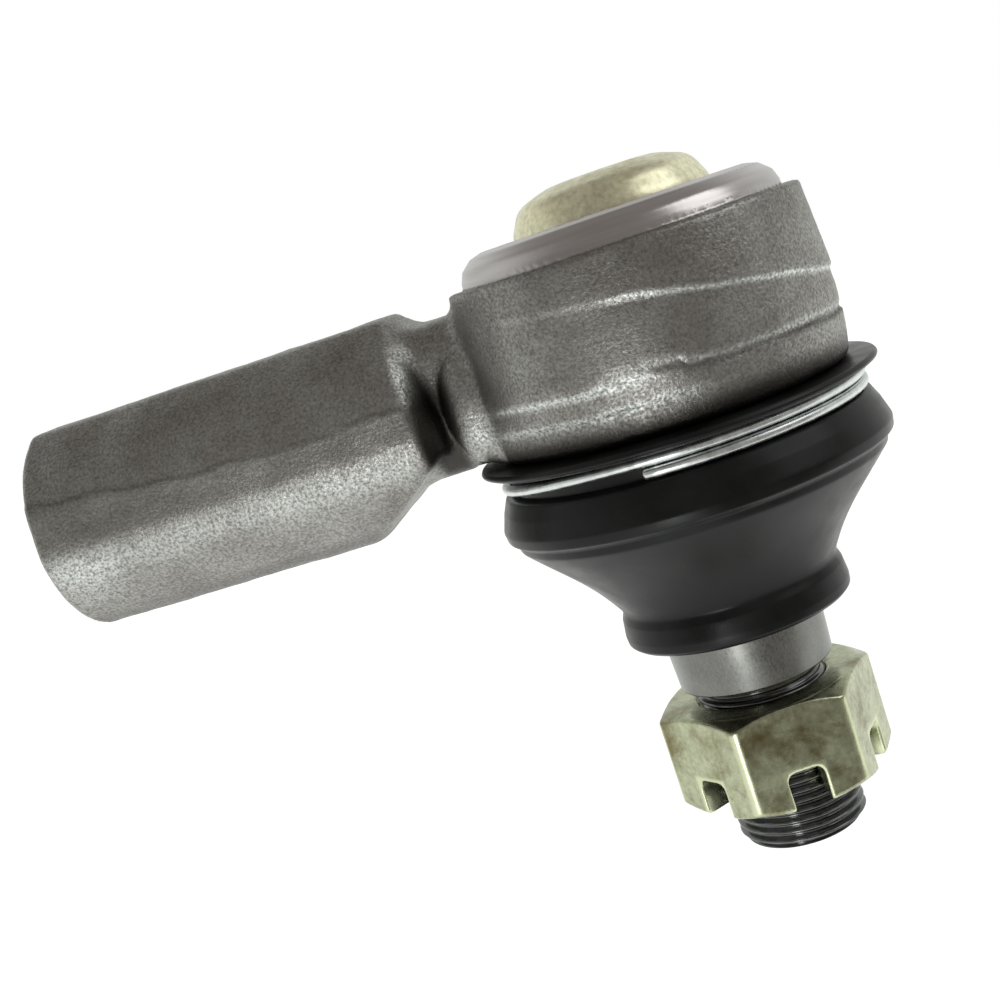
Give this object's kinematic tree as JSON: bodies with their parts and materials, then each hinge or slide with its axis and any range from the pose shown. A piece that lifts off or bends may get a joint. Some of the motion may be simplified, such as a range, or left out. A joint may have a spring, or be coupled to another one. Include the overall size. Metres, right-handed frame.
{
  "type": "tie rod end",
  "caption": "Automotive tie rod end: forged eye with a female-threaded shank, spring-loaded tapered ball stud, rubber dust boot, domed cover and castle nut.",
  "frame": {"origin": "centre of the shank's threaded mouth", "axes": "+X along the shank towards the ball, +Z towards the cover, the stud points to -Z"},
  "size_m": [0.1288, 0.0616, 0.1053],
  "materials": {
    "forging": "rough shot-blasted steel forging, oiled",
    "cap_zinc": "satin yellow-passivated zinc plate",
    "nut_zinc": "satin yellow-green passivated zinc plate",
    "stud_steel": "ground steel",
    "seat_steel": "hardened turned steel",
    "spring_steel": "dark spring steel",
    "wire_zinc": "bright zinc-plated wire",
    "boot_rubber": "black moulded rubber with a soft sheen"
  },
  "bodies": {
    "housing": {"housing": "forging", "cover_cap": "cap_zinc", "preload_spring": "spring_steel", "lower_ball_seat": "seat_steel", "boot_clamp_wire": "wire_zinc"},
    "pressure_seat": {"upper_ball_seat": "seat_steel"},
    "boot": {"dust_boot": "boot_rubber"},
    "boot_lip": {"boot_lip_ring": "seat_steel"},
    "stud": {"ball_stud": "stud_steel", "castle_nut": "nut_zinc"}
  },
  "joints": [
    {"name": "seat_preload", "type": "slide", "parent": "housing", "child": "pressure_seat", "axis": [0, 0, 1], "range_m": [0, 0.0008], "stiffness_N_per_m": 20000, "springref_m": -0.005, "deforming": ["preload_spring"]},
    {"name": "stud_swing", "type": "hinge", "parent": "housing", "child": "boot", "pos_m": [0.098, 0, 0], "axis": [0, 1, 0], "range_deg": [-18, 18], "deforming": ["dust_boot"]},
    {"name": "stud_rock", "type": "hinge", "parent": "boot", "child": "boot_lip", "pos_m": [0.098, 0, 0], "axis": [1, 0, 0], "range_deg": [-18, 18], "deforming": ["dust_boot"]},
    {"name": "stud_spin", "type": "hinge", "parent": "boot_lip", "child": "stud", "pos_m": [0.098, 0, 0], "axis": [0, 0, 1], "continuous": true}
  ]
}
